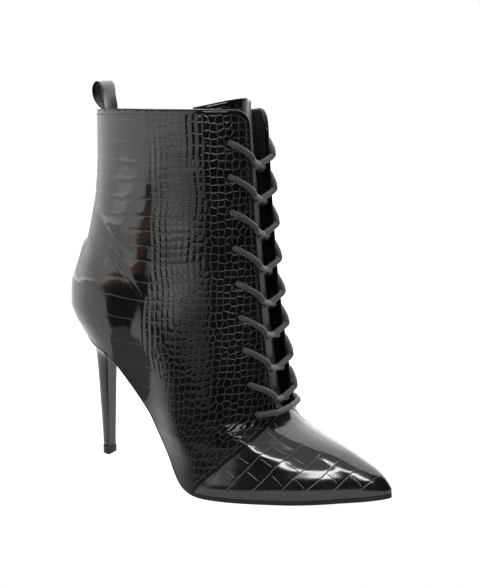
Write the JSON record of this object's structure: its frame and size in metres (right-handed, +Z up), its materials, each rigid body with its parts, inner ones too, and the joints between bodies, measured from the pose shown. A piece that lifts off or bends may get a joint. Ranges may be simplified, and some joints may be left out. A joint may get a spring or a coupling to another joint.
{
  "type": "lace-up stiletto ankle bootie",
  "caption": "Pointed-toe lace-up ankle bootie on a stiletto heel: hollow embossed upper, thin arched sole, tongue, insole, crossed lace and a pull loop at the back.",
  "frame": {"origin": "floor under the centre of the shoe's bounding box", "axes": "+Z up, +X from heel to toe, +Y towards the inner side of the foot"},
  "size_m": [0.2262, 0.0798, 0.25],
  "materials": {
    "upper": "gloss black patent with a scale embossing",
    "outsole": "satin black",
    "heel": "smooth gloss black cover",
    "heel_top_piece": "matt black",
    "insole": "matt dark lining",
    "tongue": "gloss black patent with a scale embossing",
    "pull_loop": "woven dark grey strap",
    "lace": "braided dark grey cord"
  },
  "bodies": {
    "root": {"upper": "upper", "outsole": "outsole", "heel": "heel", "heel_top_piece": "heel_top_piece", "insole": "insole", "tongue": "tongue", "pull_loop": "pull_loop", "lace_bar": "lace", "lace_crossing_1": "lace", "lace_crossing_2": "lace", "lace_crossing_3": "lace", "lace_crossing_4": "lace", "lace_crossing_5": "lace", "lace_crossing_6": "lace", "lace_crossing_7": "lace", "lace_crossing_8": "lace"}
  },
  "joints": []
}
